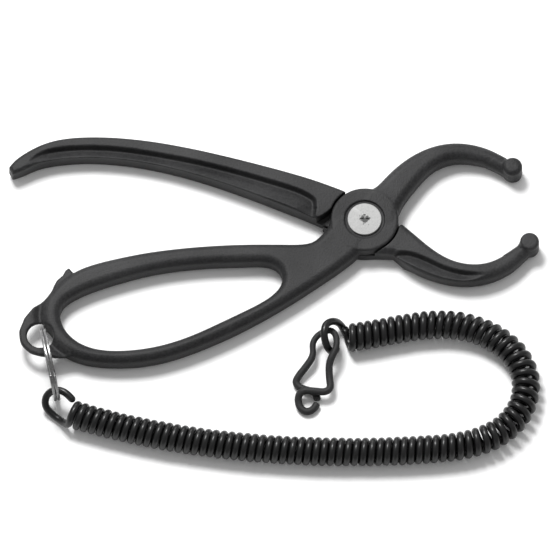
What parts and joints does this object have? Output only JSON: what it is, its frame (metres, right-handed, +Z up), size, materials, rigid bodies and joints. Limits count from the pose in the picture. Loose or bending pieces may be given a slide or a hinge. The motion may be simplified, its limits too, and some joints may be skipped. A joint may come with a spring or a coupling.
{
  "type": "gripper pliers with lanyard",
  "caption": "Lightweight moulded gripper pliers with knobbed jaw tips, a loop handle, a hooked open handle, and a coiled lanyard with split ring and snap clip.",
  "frame": {"origin": "on the pivot axis, in the plane of the levers' undersides that the tool rests on", "axes": "+Z up along the pivot axis, +X from the pivot towards the jaws, -X towards the handles, +Y towards the open handle's side"},
  "size_m": [0.2446, 0.1613, 0.0341],
  "materials": {
    "lever_plastic": "fine matte, slightly mottled",
    "pivot_metal": "satin",
    "ring_metal": "polished plating",
    "cord": "glossy extruded cord",
    "clip_plastic": "matte coating"
  },
  "bodies": {
    "front": {"front_lever": "lever_plastic", "pivot_barrel": "pivot_metal", "pivot_screw": "pivot_metal"},
    "rear": {"rear_lever": "lever_plastic"},
    "ring": {"split_ring": "ring_metal"},
    "coil_near": {"coil_ring_end": "cord"},
    "coil_mid": {"coil_middle": "cord"},
    "coil_far": {"coil_clip_end": "cord"},
    "clip": {"clip_frame": "clip_plastic"},
    "gate": {"clip_gate": "clip_plastic"}
  },
  "joints": [
    {"name": "lever_pivot", "type": "hinge", "parent": "front", "child": "rear", "pos_m": [0, 0, 0], "axis": [0, 0, 1], "range_deg": [-14, 21]},
    {"name": "ring_swivel", "type": "hinge", "parent": "front", "child": "ring", "pos_m": [-0.1474, -0.0601, 0.0101], "axis": [0, 0, 1], "range_deg": [-90, 0]},
    {"name": "lanyard_swing", "type": "hinge", "parent": "ring", "child": "coil_near", "pos_m": [-0.1421, -0.0873, 0.008], "axis": [0, 0, 1], "range_deg": [-30, 0]},
    {"name": "coil_lift_near", "type": "hinge", "parent": "coil_near", "child": "coil_mid", "pos_m": [-0.06028, -0.11036, 0.01342], "axis": [-0.1132, -0.9936, 0], "range_deg": [0, 50]},
    {"name": "coil_lift_far", "type": "hinge", "parent": "coil_mid", "child": "coil_far", "pos_m": [0.05992, -0.05707, 0.01342], "axis": [0.5361, 0.8441, 0], "range_deg": [0, 50]},
    {"name": "clip_swivel", "type": "hinge", "parent": "coil_far", "child": "clip", "pos_m": [-0.01528, -0.05347, 0.0071], "axis": [0, 0, 1], "range_deg": [-1, 15]},
    {"name": "clip_gate", "type": "hinge", "parent": "clip", "child": "gate", "pos_m": [-0.0184, -0.05367, 0.0067], "axis": [0, 0, 1], "range_deg": [0, 8]}
  ]
}
